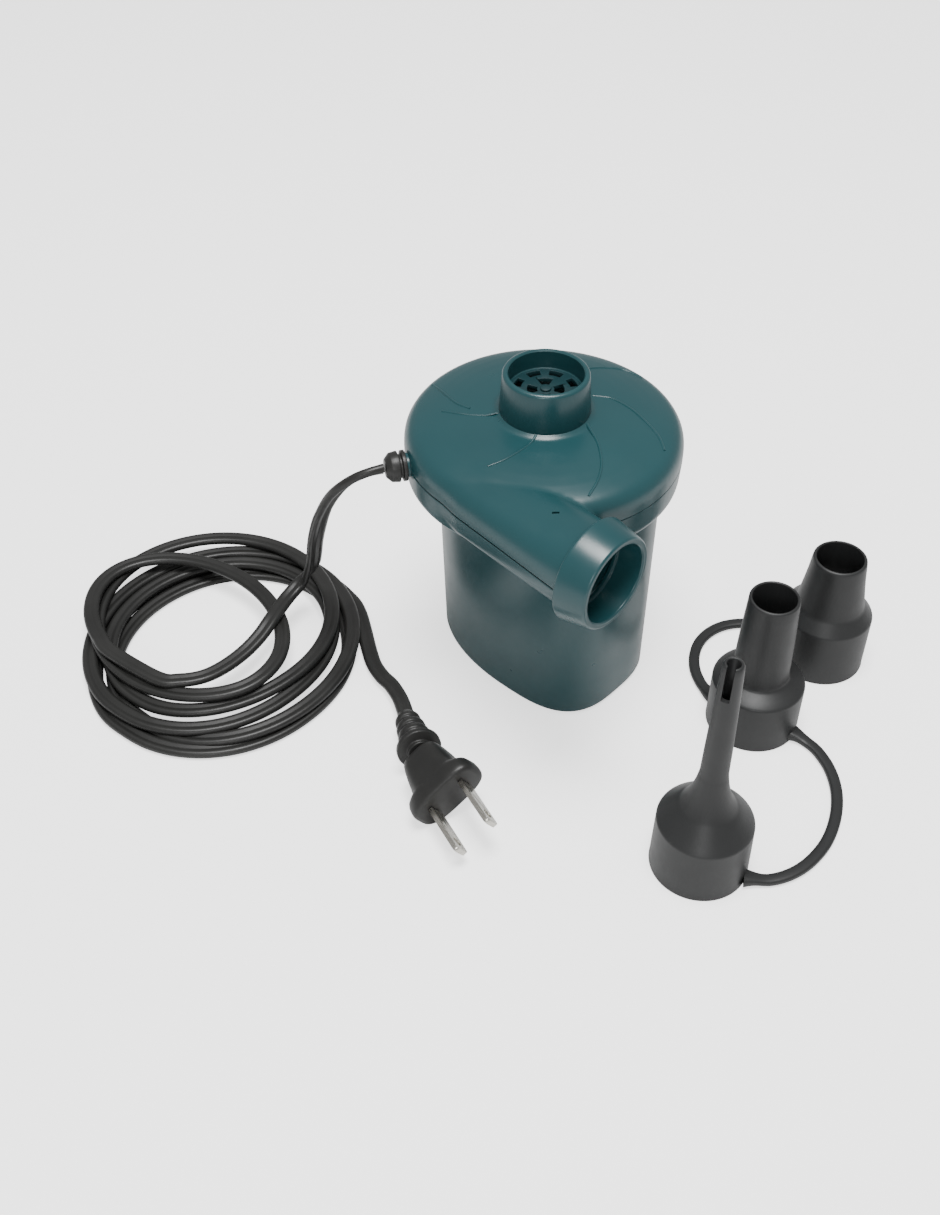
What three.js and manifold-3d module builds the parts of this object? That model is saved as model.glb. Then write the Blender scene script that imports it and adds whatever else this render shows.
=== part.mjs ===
// Electric air mattress pump with its set of three nozzles.
// Units are millimetres, +Z is up. The origin is on the flat base under the
// motor's axis, and +X points the way the outlet blows.
import * as THREE from 'three';
import { mergeVertices } from 'three/addons/utils/BufferGeometryUtils.js';
import Module from 'manifold-3d';

const wasm = await Module();
wasm.setup();

// ---------------------------------------------------------------- driving dimensions
const GAP = 0.3;            // clearance kept between touching pieces
const WALL = 2.2;           // wall of the moulded case
const ROUND = 32;           // facets round a large turned piece
const SMALL_ROUND = 10;     // facets round a small turned piece

const SEAM_Z = 86.6;        // the case splits here, at the middle of the outlet
const FAN_CASE_R = 43.4;    // radius of the round fan case
const FAN_CASE_BOTTOM = 75.6;
const FAN_CASE_TOP = 96.4;  // where the dome's edge turns over
const DOME_Z = 99;          // top of the dome at the foot of the intake collar
const RIM_Z = 113;          // top of the intake collar, the highest point
const COLLAR_R = 13.4;      // intake collar, outside at its rim
const COLLAR_BORE = 11.4;   // intake collar, inside

const OUTLET_Y = -36.6;     // axis of the outlet
const OUTLET_X = 57.2;      // face of the outlet's mouth
const OUTLET_R = 14.4;      // outlet collar at the mouth, outside
const OUTLET_BORE = 12.3;
const OUTLET_LIP = 11.6;    // the collar's back wall reaches in to here
const OUTLET_LENGTH = 10;   // length of the outlet collar

const HOUSING_MIDDLE = 8;   // the housing's oval is widest here, on the outlet's side of the axis
const HOUSING_BACK = 44;    // its reach from there to the narrow end, at the floor
const HOUSING_FRONT = 29;   // and to the blunt end
const HOUSING_HALF = 25;    // half its width at the floor
const HOUSING_TOP = FAN_CASE_BOTTOM - GAP;
const FLOOR_T = 2.4;        // thickness of the housing's floor

const RELIEF_AZ = THREE.MathUtils.degToRad(-123);  // where the cord leaves the rim
const CORD_R = 2;           // radius of the plain cord solid
const COIL_X = -78;
const COIL_Y = -75.5;
const COIL_OUTER = 57;
const COIL_INNER = 15;
const COIL_HEIGHT = 11;

const PLUG = { x: 31.8, y: -78.5, z: 10.8, az: -20, roll: 36 };  // face of the plug
const BLADE_SPACING = 12.7;
// how far behind the face, half width, half height
const PLUG_STATIONS = [
  [-19, 6.4, 5.4], [-14, 7.6, 6.2], [-9, 8.4, 6.4], [-6.4, 8.8, 6.6], [-5.2, 11.6, 7], [-1.2, 12.4, 7.4], [0, 11.6, 6.8],
];

const SMALL_NOZZLE = { x: 98.5, y: -39.2 };
const MEDIUM_NOZZLE = { x: 77.5, y: 20.6 };
const LARGE_NOZZLE = { x: 77.8, y: 61.7 };
const SOCKET_R = 14;        // the nozzles' sockets push over the collars

// ---------------------------------------------------------------- materials
const finish = (color, roughness, metalness) => ({ color, roughness, metalness });
const TEAL = finish(0x2d5258, 0.38, 0);
const GRILLE_TEAL = finish(0x1d3a40, 0.45, 0);
const CHARCOAL = finish(0x3b3d3e, 0.5, 0);
const CORD_BLACK = finish(0x232321, 0.45, 0);
const STEEL = finish(0xa9abad, 0.35, 1);
const LAMINATION = finish(0x6a6a6c, 0.55, 1);
const COPPER = finish(0xb0642e, 0.35, 1);
const BRASS = finish(0xb99a55, 0.35, 1);
const CARBON = finish(0x1c1c1e, 0.8, 0);
const IMPELLER_GREY = finish(0x8a8d90, 0.5, 0);
const PLATE_BLACK = finish(0x222426, 0.6, 0);

// ---------------------------------------------------------------- shape helpers
const group = new THREE.Group();

function addMesh(name, geometry, look, parent = group) {
  const mesh = new THREE.Mesh(geometry, new THREE.MeshStandardMaterial(look));
  mesh.name = name;
  parent.add(mesh);
  return mesh;
}

function solid(geometry) {
  geometry.deleteAttribute('normal');
  geometry.deleteAttribute('uv');
  const merged = mergeVertices(geometry, 1e-4);
  return new wasm.Manifold(new wasm.Mesh({
    numProp: 3,
    vertProperties: Float32Array.from(merged.attributes.position.array),
    triVerts: Uint32Array.from(merged.index.array),
  }));
}

function geometryOf(manifold) {
  const mesh = manifold.getMesh();
  const geometry = new THREE.BufferGeometry();
  geometry.setAttribute('position', new THREE.BufferAttribute(Float32Array.from(mesh.vertProperties), 3));
  geometry.setIndex(new THREE.BufferAttribute(Uint32Array.from(mesh.triVerts), 1));
  return geometry;
}

// A turned piece about +Z from a profile of [radius, height] points.
function turned(profile, segments = ROUND) {
  const points = profile.map(([r, z]) => new THREE.Vector2(r, z));
  const geometry = new THREE.LatheGeometry(points, segments);
  geometry.rotateX(Math.PI / 2);
  return geometry;
}

function rod(radius, z0, z1, segments = SMALL_ROUND) {
  return turned([[0, z0], [radius, z0], [radius, z1], [0, z1]], segments);
}

function ring(inner, outer, z0, z1, segments = ROUND) {
  return turned([[inner, z0], [outer, z0], [outer, z1], [inner, z1], [inner, z0]], segments);
}

function box(sx, sy, sz, x = 0, y = 0, z = 0) {
  const geometry = new THREE.BoxGeometry(sx, sy, sz);
  geometry.translate(x, y, z);
  return geometry;
}

function extruded(points, z0, z1) {
  const geometry = new THREE.ExtrudeGeometry(new THREE.Shape(points), { depth: z1 - z0, bevelEnabled: false });
  geometry.translate(0, 0, z0);
  return geometry;
}

function roundedBlock(halfX, halfY, radius, z0, z1, corner = 5) {
  const points = [];
  for (let quarter = 0; quarter < 4; quarter++) {
    const sx = quarter === 0 || quarter === 3 ? 1 : -1;
    const sy = quarter < 2 ? 1 : -1;
    for (let i = 0; i <= corner; i++) {
      const a = (quarter + i / corner) * Math.PI / 2;
      points.push(new THREE.Vector2(sx * (halfX - radius) + radius * Math.cos(a),
        sy * (halfY - radius) + radius * Math.sin(a)));
    }
  }
  return extruded(points, z0, z1);
}

function tube(points, radius, steps, sides = 8) {
  const section = [];
  for (let i = 0; i < sides; i++) {
    const a = i * 2 * Math.PI / sides;
    section.push(new THREE.Vector2(radius * Math.cos(a), radius * Math.sin(a)));
  }
  const path = new THREE.CatmullRomCurve3(points.map((p) => new THREE.Vector3(...p)));
  return new THREE.ExtrudeGeometry(new THREE.Shape(section), { steps, extrudePath: path, bevelEnabled: false });
}

// ---------------------------------------------------------------- fan case
// The round case with its outlet duct, grown outwards by `grow` (negative for the hollow).
function fanCaseSolid(grow) {
  const r = FAN_CASE_R + grow;
  const bottom = FAN_CASE_BOTTOM - grow;
  const edge = FAN_CASE_TOP - 4.2 + grow * 0.3;
  const dome = DOME_Z + grow;
  return solid(turned([
    [0, bottom], [r - 4.6, bottom], [r - 1.7, bottom + 1.1], [r - 0.4, bottom + 3.6], [r, SEAM_Z - 0.6],
    [r, SEAM_Z + 2.4], [r - 0.5, edge], [r - 2.2, edge + 2.4 + grow * 0.4], [r - 5.6, edge + 3.6 + grow * 0.7],
    [r * 0.66, dome - 1.1], [r * 0.4, dome - 0.2], [0, dome],
  ]));
}

// The duct swells from the case's edge to a round end behind the outlet collar.
function ductSolid(grow, x0, x1) {
  const sides = 16;
  const steps = 7;
  const geometry = tube([[x0, 0, 0], [(x0 + x1) / 2, 0, 0], [x1, 0, 0]], 1, steps, sides);
  const position = geometry.attributes.position;
  for (let i = 0; i < position.count; i++) {
    const x = position.getX(i);
    const along = THREE.MathUtils.clamp((x + 6) / (OUTLET_X - OUTLET_LENGTH + 6), 0, 1.05);
    const lift = 0.8 * along ** 4;
    const halfWidth = 12.4 + 1.4 * along + grow;
    const halfHeight = 9.6 + 2.05 * along + lift + grow;
    const centreY = -31.4 + (OUTLET_Y + 31.4) * along;
    const centreZ = 85.8 + 0.55 * along + lift;
    const a = Math.atan2(position.getZ(i), position.getY(i));
    const power = 2 / (3.2 - 1.0 * Math.min(along, 1));
    const c = Math.cos(a);
    const s = Math.sin(a);
    const y = Math.sign(c) * Math.abs(c) ** power * halfWidth;
    const z = Math.sign(s) * Math.abs(s) ** power * halfHeight;
    position.setXYZ(i, x, centreY + y, centreZ + z);
  }
  return solid(geometry);
}

const ductEnd = OUTLET_X - OUTLET_LENGTH - GAP;
const slabAbove = solid(box(300, 300, 60, 0, 0, SEAM_Z + GAP / 2 + 30));
const slabBelow = solid(box(300, 300, 60, 0, 0, SEAM_Z - GAP / 2 - 30));
const hollow = fanCaseSolid(-WALL).add(ductSolid(-WALL, -2, ductEnd + 5));
const caseSolid = fanCaseSolid(0).add(ductSolid(0, -6, ductEnd)).subtract(hollow);

const caseScrewAngles = [45, 135, 205].map(THREE.MathUtils.degToRad);
const CASE_SCREW_R = 36.6;
const BOSS_R = 3.6;
const boreCut = solid(rod(COLLAR_BORE, 80, 130, ROUND));
const reliefSlot = (() => {
  const geometry = box(16, 8.2, 8.2, FAN_CASE_R, 0, SEAM_Z);
  geometry.rotateZ(RELIEF_AZ);
  return solid(geometry);
})();

function at(geometry, angle, radius) {
  geometry.translate(radius * Math.cos(angle), radius * Math.sin(angle), 0);
  return geometry;
}

// upper cover: dome, intake collar, screw bosses and the top half of the duct
const intakeCollar = solid(turned([
  [COLLAR_BORE, DOME_Z - 3], [COLLAR_R + 2.2, DOME_Z - 1.2], [COLLAR_R + 1.2, DOME_Z + 0.4],
  [COLLAR_R + 0.7, DOME_Z + 1.4],
  [COLLAR_R, RIM_Z - 0.8], [COLLAR_R - 0.7, RIM_Z], [COLLAR_BORE + 0.4, RIM_Z],
  [COLLAR_BORE, RIM_Z - 0.4], [COLLAR_BORE, DOME_Z - 3],
]));
let upper = caseSolid.intersect(slabAbove).add(intakeCollar).subtract(boreCut).subtract(reliefSlot);
for (const angle of caseScrewAngles) {
  const boss = solid(at(rod(BOSS_R, SEAM_Z + GAP / 2, FAN_CASE_TOP - 3.4), angle, CASE_SCREW_R));
  upper = upper.add(boss).subtract(solid(at(rod(1.7, 80, 91.4), angle, CASE_SCREW_R)));
}
addMesh('upper_cover', geometryOf(upper), TEAL);

// lower shell: floor ring, screw bosses and the bottom half of the duct
let lower = caseSolid.intersect(slabBelow).subtract(reliefSlot);
lower = lower.subtract(solid(rod(20, 60, 82, ROUND)));
for (const angle of caseScrewAngles) {
  const boss = solid(at(rod(BOSS_R, FAN_CASE_BOTTOM + 0.5, SEAM_Z - GAP / 2), angle, CASE_SCREW_R));
  lower = lower.add(boss).subtract(solid(at(rod(1.7, 70, 95), angle, CASE_SCREW_R)));
  lower = lower.subtract(solid(at(rod(2.9, 70, FAN_CASE_BOTTOM + 2.4), angle, CASE_SCREW_R)));
}
const PLATE_SCREW_R = 32.6;
const plateScrewAngles = [90, 178, 330].map(THREE.MathUtils.degToRad);
for (const angle of plateScrewAngles) {
  lower = lower.subtract(solid(at(rod(1.7, 70, 82), angle, PLATE_SCREW_R)));
}
addMesh('lower_shell', geometryOf(lower), TEAL);

// screws that hold the two halves of the fan case together, driven from below
caseScrewAngles.forEach((angle, i) => {
  const z0 = FAN_CASE_BOTTOM + 0.2;
  const screw = turned([[0, z0], [2.5, z0], [2.5, z0 + 1.8], [1.35, z0 + 2], [1.35, 90.6], [0, 91]], SMALL_ROUND);
  addMesh(`case_screw_${i + 1}`, at(screw, angle, CASE_SCREW_R), STEEL);
});

// grille set inside the intake collar: hub, four spokes, a land and eight outer windows
const GRILLE_Z = 105.2;
let grille = solid(rod(COLLAR_BORE - GAP, GRILLE_Z, GRILLE_Z + 1.6, ROUND));
const windowCut = (r0, r1, a0, a1) => {
  const points = [];
  for (let i = 0; i <= 3; i++) {
    const a = a0 + (a1 - a0) * i / 3;
    points.push(new THREE.Vector2(r1 * Math.cos(a), r1 * Math.sin(a)));
  }
  for (let i = 3; i >= 0; i--) {
    const a = a0 + (a1 - a0) * i / 3;
    points.push(new THREE.Vector2(r0 * Math.cos(a), r0 * Math.sin(a)));
  }
  return solid(extruded(points, GRILLE_Z - 2, GRILLE_Z + 4));
};
const GRILLE_TURN = THREE.MathUtils.degToRad(42);
for (let i = 0; i < 4; i++) {
  const a = GRILLE_TURN + i * Math.PI / 2;
  grille = grille.subtract(windowCut(2.5, 5.8, a - 0.46, a + 0.46));
}
for (let i = 0; i < 8; i++) {
  const a = GRILLE_TURN + (i + 0.5) * Math.PI / 4;
  grille = grille.subtract(windowCut(7.5, 10.1, a - 0.25, a + 0.25));
}
addMesh('intake_grille', geometryOf(grille), GRILLE_TEAL);

// outlet collar: a tapered ring that the nozzles push onto
const outletCollar = turned([
  [OUTLET_LIP, 0], [OUTLET_R + 1.5, 0], [OUTLET_R + 1.7, 0.8], [OUTLET_R, OUTLET_LENGTH - 0.5],
  [OUTLET_R - 0.5, OUTLET_LENGTH], [OUTLET_BORE + 0.4, OUTLET_LENGTH], [OUTLET_BORE, OUTLET_LENGTH - 0.4],
  [OUTLET_BORE, 1.5], [OUTLET_LIP, 1.2], [OUTLET_LIP, 0],
]);
outletCollar.rotateY(Math.PI / 2);
const outletMesh = addMesh('outlet_collar', outletCollar, TEAL);
outletMesh.position.set(OUTLET_X - OUTLET_LENGTH, OUTLET_Y, SEAM_Z);

// ---------------------------------------------------------------- motor housing
// The housing's egg-shaped outline, inset by `inset`. It widens a little towards the fan case.
function housingSolid(inset, z0, z1, lip) {
  const sides = 36;
  const points = [];
  for (let i = 0; i < sides; i++) {
    const a = i * 2 * Math.PI / sides;
    points.push(new THREE.Vector2(Math.cos(a), Math.sin(a)));
  }
  const geometry = new THREE.ExtrudeGeometry(new THREE.Shape(points), { depth: 1, steps: 4, bevelEnabled: false });
  const position = geometry.attributes.position;
  const levels = [z0, z0 + lip * 0.3, z0 + lip, (z0 + z1) / 2, z1];
  const pinch = [lip * 0.8, lip * 0.25, 0, 0, 0];
  for (let i = 0; i < position.count; i++) {
    const level = Math.round(position.getZ(i) * 4);
    const z = levels[level];
    const rise = z / HOUSING_TOP;
    const a = Math.atan2(position.getY(i), position.getX(i));
    const c = Math.cos(a);
    const s = Math.sin(a);
    const power = c > 0 ? 2 / 3 : 2 / 2.1;
    const reach = (c > 0 ? HOUSING_FRONT : HOUSING_BACK + 3 * rise) - inset - pinch[level];
    const half = HOUSING_HALF + rise - inset - pinch[level];
    const x = HOUSING_MIDDLE + Math.sign(c) * Math.abs(c) ** power * reach;
    position.setXYZ(i, x, Math.sign(s) * Math.abs(s) ** power * half, z);
  }
  return solid(geometry);
}

const footPoints = [[21, 6.5], [-21, 6.5], [-21, -6.5], [21, -6.5]];
let motorHousing = housingSolid(0, 0, HOUSING_TOP, 3).subtract(housingSolid(WALL, FLOOR_T, HOUSING_TOP + 5, 2));
for (const [x, y] of footPoints) {
  const boss = rod(4.6, 1, 8.7);
  boss.translate(x, y, 0);
  const bore = turned([[0, -1], [3.1, -1], [3.1, 2.6], [1.8, 2.6], [1.8, 12], [0, 12]], SMALL_ROUND);
  bore.translate(x, y, 0);
  motorHousing = motorHousing.add(solid(boss)).subtract(solid(bore));
}
for (let i = -2.5; i <= 2.5; i++) {
  motorHousing = motorHousing.subtract(solid(box(2.4, 22, 8, i * 5.6, 0, 1)));       // floor vents
}
for (let i = 0; i < 6; i++) {
  motorHousing = motorHousing.subtract(solid(box(26, 12, 2, 6, HOUSING_HALF, 12 + i * 4.4)));  // rear louvres
}
// the duct's belly dips below the housing's rim, so the rim is notched round it
motorHousing = motorHousing.subtract(ductSolid(GAP, -6, ductEnd + GAP));
addMesh('motor_housing', geometryOf(motorHousing), TEAL);

footPoints.forEach(([x, y], i) => {
  const screw = turned([[0, 0.5], [2.7, 0.5], [2.7, 2.3], [1.45, 2.3], [1.45, 12.4], [0, 13]], SMALL_ROUND);
  screw.translate(x, y, 0);
  addMesh(`base_screw_${i + 1}`, screw, STEEL);
});

// ---------------------------------------------------------------- motor, fixed pieces
const STACK_Z0 = 30;
const STACK_Z1 = 52;
const BOLT_X = 24;

let lowerBracket = solid(roundedBlock(29, 9.5, 4, 9, 11)).subtract(solid(rod(5.3, 5, 15)));
for (const [x, y] of footPoints) {
  const hole = rod(1.8, 5, 15);
  hole.translate(x, y, 0);
  lowerBracket = lowerBracket.subtract(solid(hole));
}
let upperBracket = solid(roundedBlock(29, 8, 4, 66, 68)).subtract(solid(rod(5.3, 60, 75)));
for (const side of [-1, 1]) {
  for (const z of [10, 67]) {
    const hole = rod(1.8, z - 5, z + 5);
    hole.translate(side * BOLT_X, 0, 0);
    if (z < 30) lowerBracket = lowerBracket.subtract(solid(hole));
    else upperBracket = upperBracket.subtract(solid(hole));
  }
}
addMesh('motor_bracket_lower', geometryOf(lowerBracket), STEEL);
addMesh('motor_bracket_upper', geometryOf(upperBracket), STEEL);
addMesh('bearing_lower', turned([[2.08, 7], [3.6, 7], [5, 8.4], [5, 12.6], [3.6, 13.6], [2.08, 13.6], [2.08, 7]], 16), BRASS);
addMesh('bearing_upper', turned([[2.08, 64.4], [3.6, 64.4], [5, 65.6], [5, 69], [3.6, 70.4], [2.08, 70.4], [2.08, 64.4]], 16), BRASS);

// stator: a laminated yoke with two poles reaching in to the armature
let stator = solid(roundedBlock(26, 18.6, 12, STACK_Z0, STACK_Z1)).subtract(solid(roundedBlock(22, 14.8, 4, 20, 60)));
for (const side of [-1, 1]) {
  stator = stator.add(solid(box(8, 13, STACK_Z1 - STACK_Z0, side * 19, 0, (STACK_Z0 + STACK_Z1) / 2)));
  const shoe = solid(rod(17, STACK_Z0, STACK_Z1, 28)).intersect(solid(box(14, 24, 60, side * 16, 0, 40)));
  stator = stator.add(shoe);
}
stator = stator.subtract(solid(rod(14.4, 20, 60, 28)));
for (const side of [-1, 1]) {
  const hole = rod(1.7, 20, 60);
  hole.translate(side * BOLT_X, 0, 0);
  stator = stator.subtract(solid(hole));
}
addMesh('stator_core', geometryOf(stator), LAMINATION);

for (const [name, side] of [['field_coil_a', 1], ['field_coil_b', -1]]) {
  const outer = solid(box(4.2, 24, 36, side * 19.4, 0, (STACK_Z0 + STACK_Z1) / 2));
  const inner = solid(box(10, 13.6, 22.6, side * 19.4, 0, (STACK_Z0 + STACK_Z1) / 2));
  const clear = solid(rod(17.2, 20, 60, 28));
  addMesh(name, geometryOf(outer.subtract(inner).subtract(clear)), COPPER);
  const bolt = turned([[0, 7.6], [1.35, 7.6], [1.35, 68.3], [3, 68.3], [3, 70.3], [0, 70.3]], SMALL_ROUND);
  bolt.translate(side * BOLT_X, 0, 0);
  addMesh(`stator_bolt_${side > 0 ? 'a' : 'b'}`, bolt, STEEL);
}

// brush gear, one holder each side of the commutator
const BRUSH_Z = 19.4;
for (const [letter, side] of [['a', 1], ['b', -1]]) {
  const holder = solid(box(7.4, 10, 7.4, 0, side * 14, BRUSH_Z)).subtract(solid(box(5, 30, 5, 0, side * 14, BRUSH_Z)));
  addMesh(`brush_holder_${letter}`, geometryOf(holder), BRASS);
  addMesh(`carbon_brush_${letter}`, box(4.4, 9, 4.4, 0, side * 11.9, BRUSH_Z), CARBON);
}

// plate that closes the fan chamber over the motor
let plate = solid(ring(6, 36.4, 78.8, 80.6)).subtract(solid(box(10, 4, 10, -24, 0, 79)));
for (const angle of caseScrewAngles) {
  plate = plate.subtract(solid(at(rod(BOSS_R + GAP, 70, 90, 16), angle, CASE_SCREW_R)));
}
for (const angle of plateScrewAngles) plate = plate.subtract(solid(at(rod(1.7, 70, 85), angle, PLATE_SCREW_R)));
addMesh('motor_plate', geometryOf(plate), PLATE_BLACK);
plateScrewAngles.forEach((angle, i) => {
  const screw = turned([[0, 73.6], [1.35, 74.2], [1.35, 80.9], [2.6, 80.9], [2.2, 82.2], [0, 82.4]], SMALL_ROUND);
  addMesh(`plate_screw_${i + 1}`, at(screw, angle, PLATE_SCREW_R), STEEL);
});

// ---------------------------------------------------------------- rotor
const rotor = new THREE.Group();
group.add(rotor);
addMesh('motor_shaft', turned([[0, 5.4], [1.6, 5.4], [2, 5.8], [2, 97], [1.6, 97.6], [0, 97.6]], 12), STEEL, rotor);

let armature = solid(ring(2.3, 13.8, STACK_Z0, STACK_Z1, 24));
for (let i = 0; i < 8; i++) {
  const slot = box(7, 2.4, 40, 12, 0, 41);
  slot.rotateZ((i + 0.5) * Math.PI / 4);
  armature = armature.subtract(solid(slot));
}
addMesh('armature_core', geometryOf(armature), LAMINATION, rotor);
addMesh('armature_coil_upper', turned([[2.3, 52.3], [12.4, 52.3], [12.6, 55], [10, 58], [4, 58.4], [2.3, 57], [2.3, 52.3]], 20), COPPER, rotor);
addMesh('armature_coil_lower', turned([[2.3, 25], [4, 23.8], [10, 24.4], [12.6, 27], [12.4, 29.7], [2.3, 29.7], [2.3, 25]], 20), COPPER, rotor);
let commutator = solid(ring(2.3, 7, 15.4, 23.2, 24));
for (let i = 0; i < 12; i++) {
  const slot = box(1.6, 0.5, 20, 7, 0, 20);
  slot.rotateZ(i * Math.PI / 6);
  commutator = commutator.subtract(solid(slot));
}
addMesh('commutator', geometryOf(commutator), COPPER, rotor);

// curved blade outline from radius r0 to r1, swept back by `sweep` radians
function bladeOutline(r0, r1, start, sweep, thickness) {
  const steps = 3;
  const side = (offset) => {
    const line = [];
    for (let i = 0; i <= steps; i++) {
      const t = i / steps;
      const r = r0 + (r1 - r0) * t;
      const a = start - sweep * t + offset / r;
      line.push(new THREE.Vector2(r * Math.cos(a), r * Math.sin(a)));
    }
    return line;
  };
  return [...side(-thickness / 2), ...side(thickness / 2).reverse()];
}

function bladedWheel(count, hubR, wheelR, z0, plateT, height, sweep, thickness) {
  let wheel = solid(ring(2.3, wheelR, z0, z0 + plateT)).add(solid(ring(2.3, hubR, z0, z0 + height + plateT, 16)));
  for (let i = 0; i < count; i++) {
    const outline = bladeOutline(hubR - 0.8, wheelR - 0.4, i * 2 * Math.PI / count, sweep, thickness);
    wheel = wheel.add(solid(extruded(outline, z0 + plateT / 2, z0 + plateT + height)));
  }
  return wheel;
}

addMesh('cooling_fan', geometryOf(bladedWheel(7, 4.6, 18.5, 59, 1.2, 3, 0.5, 1.2)), IMPELLER_GREY, rotor);
addMesh('impeller', geometryOf(bladedWheel(10, 6.5, 29.4, 82.8, 1.4, 8, 0.9, 1.4)), IMPELLER_GREY, rotor);
addMesh('impeller_nut', ring(2.7, 4, 92.6, 95.4, 6), STEEL, rotor);

// ---------------------------------------------------------------- cord and plug
// strain relief clamped in the seam, pointing out of the rim
const relief = new THREE.Group();
relief.rotation.z = RELIEF_AZ;
relief.position.z = SEAM_Z;
group.add(relief);
const reliefProfile = [
  [0, 30.4], [3, 30.4], [3.6, 36.6], [4.9, 36.8], [4.9, 38.8], [3.6, 39], [3.6, 43.9], [4.9, 44], [4.9, 45.3],
  [3.9, 45.4], [3.9, 46.3], [5, 46.4], [4.8, 49], [3.4, 50.4], [0, 50.4],
];
const reliefBody = turned(reliefProfile, 16);
reliefBody.rotateY(Math.PI / 2);
addMesh('strain_relief', reliefBody, CORD_BLACK, relief);

// the cord falls from the rim onto its coil
const cordExit = 51.1;
const dropRoute = [
  [cordExit * Math.cos(RELIEF_AZ), cordExit * Math.sin(RELIEF_AZ), SEAM_Z],
  [-30.2, -46.8, 86.2], [-33.6, -50.6, 84.0], [-37.6, -53.0, 79.4], [-42.0, -53.6, 72.6], [-46.8, -52.8, 64.0],
  [-51.8, -50.8, 54.4], [-56.8, -48.2, 44.6], [-61.4, -45.4, 34.8], [-65.6, -43.2, 26.0], [-69.0, -43.0, 19.0],
  [-71.0, -45.4, 14.8],
];
addMesh('cord_drop', tube(dropRoute, CORD_R, 16), CORD_BLACK);
const coil = addMesh('cord_coil', ring(COIL_INNER, COIL_OUTER, 0.05, COIL_HEIGHT, 40), CORD_BLACK);
coil.position.set(COIL_X, COIL_Y, 0);
const leadRoute = [[-25.5, -49.7, 2.6], [-20.4, -51.2, 2.8], [-13.4, -54.4, 3.8], [-7.2, -58.4, 5.4], [-4.9, -60.1, 6.1]];
addMesh('cord_lead', tube(leadRoute, CORD_R, 6), CORD_BLACK);

const plug = new THREE.Group();
plug.position.set(PLUG.x, PLUG.y, PLUG.z);
plug.rotation.z = THREE.MathUtils.degToRad(PLUG.az);
group.add(plug);
const rolled = new THREE.Group();
rolled.rotation.x = THREE.MathUtils.degToRad(PLUG.roll);
plug.add(rolled);

// plug body: a wide flat head with a narrower neck behind it
const plugBody = (() => {
  const geometry = tube([[0, 0, 0], [3, 0, 0], [6, 0, 0]], 1, PLUG_STATIONS.length - 1, 20);
  const position = geometry.attributes.position;
  for (let i = 0; i < position.count; i++) {
    const level = Math.round(position.getX(i) / 6 * (PLUG_STATIONS.length - 1));
    const [x, halfWidth, halfHeight] = PLUG_STATIONS[level];
    const a = Math.atan2(position.getZ(i), position.getY(i));
    const power = 2 / 3.2;
    const y = Math.sign(Math.cos(a)) * Math.abs(Math.cos(a)) ** power * halfWidth;
    const z = Math.sign(Math.sin(a)) * Math.abs(Math.sin(a)) ** power * halfHeight;
    position.setXYZ(i, x, y, z);
  }
  return geometry;
})();
addMesh('plug_body', plugBody, CORD_BLACK, rolled);
for (const [letter, side] of [['a', -1], ['b', 1]]) {
  addMesh(`plug_blade_${letter}`, box(17.5, 1.5, 6.2, GAP + 8.75, side * BLADE_SPACING / 2, 0), STEEL, rolled);
}
// ribbed relief and flange between the cord and the plug
const plugRelief = turned([
  [0, 0], [3.0, 0], [3.4, 2.4], [4.3, 2.6], [4.4, 4.6], [3.7, 4.9], [3.8, 6.6], [4.9, 6.9], [5.0, 9.0], [4.2, 9.3],
  [4.3, 11.0], [5.4, 11.3], [5.5, 13.6], [4.8, 14.0], [4.9, 17.0], [7.4, 17.2], [7.4, 19.2], [4, 19.6], [4, 20.9],
  [0, 20.9],
], 14);
plugRelief.rotateY(Math.PI / 2);
const plugReliefMesh = addMesh('plug_relief', plugRelief, CORD_BLACK);
plugReliefMesh.position.set(-4.7, -60.5, 6.2);
plugReliefMesh.rotation.set(0, THREE.MathUtils.degToRad(-11.9), THREE.MathUtils.degToRad(-31.7), 'ZYX');

// ---------------------------------------------------------------- nozzles and tethers
function nozzle(name, place, outer, inner, shape = (s) => s) {
  const profile = [...outer, ...inner, outer[0]];
  const mesh = addMesh(name, geometryOf(shape(solid(turned(profile, 24)))), CHARCOAL);
  mesh.position.set(place.x, place.y, 0);
}

nozzle('nozzle_small', SMALL_NOZZLE,
  [[SOCKET_R, 0], [15.2, 0], [15.1, 17], [14.6, 20.1], [12.4, 22.6], [8.8, 26.8], [6.6, 31], [5, 36.4],
    [4.25, 40.9], [4, 52], [3.5, 72], [3.1, 84], [2.6, 85.6]],
  [[1.9, 85.6], [2.1, 72], [2.7, 52], [3, 41], [4.6, 33], [6.6, 27], [9, 22], [12.6, 19], [SOCKET_R - 0.2, 17.4]],
  (body) => {
    const slot = box(6, 2.4, 24, 4, 0, 85.6);
    slot.rotateZ(THREE.MathUtils.degToRad(-74));
    return body.subtract(solid(slot));
  });
nozzle('nozzle_medium', MEDIUM_NOZZLE,
  [[SOCKET_R, 0], [15.3, 0], [15.1, 19], [12.2, 21.4], [9.6, 23.6], [9.2, 27], [8.8, 40], [8, 54.4], [7.6, 55]],
  [[6.8, 55], [7.2, 44], [7.6, 30], [8, 23], [10, 19.8], [12.8, 17.8], [SOCKET_R - 0.2, 16.4]]);
nozzle('nozzle_large', LARGE_NOZZLE,
  [[SOCKET_R, 0], [15.2, 0], [14.9, 20.6], [13.4, 22.8], [11.5, 25.2], [10.4, 31], [8.9, 44.6], [8.5, 45.2]],
  [[7.7, 45.2], [8.6, 34], [9.8, 25.4], [11.4, 21.8], [13.2, 19.4], [SOCKET_R - 0.2, 17.6]]);

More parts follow.
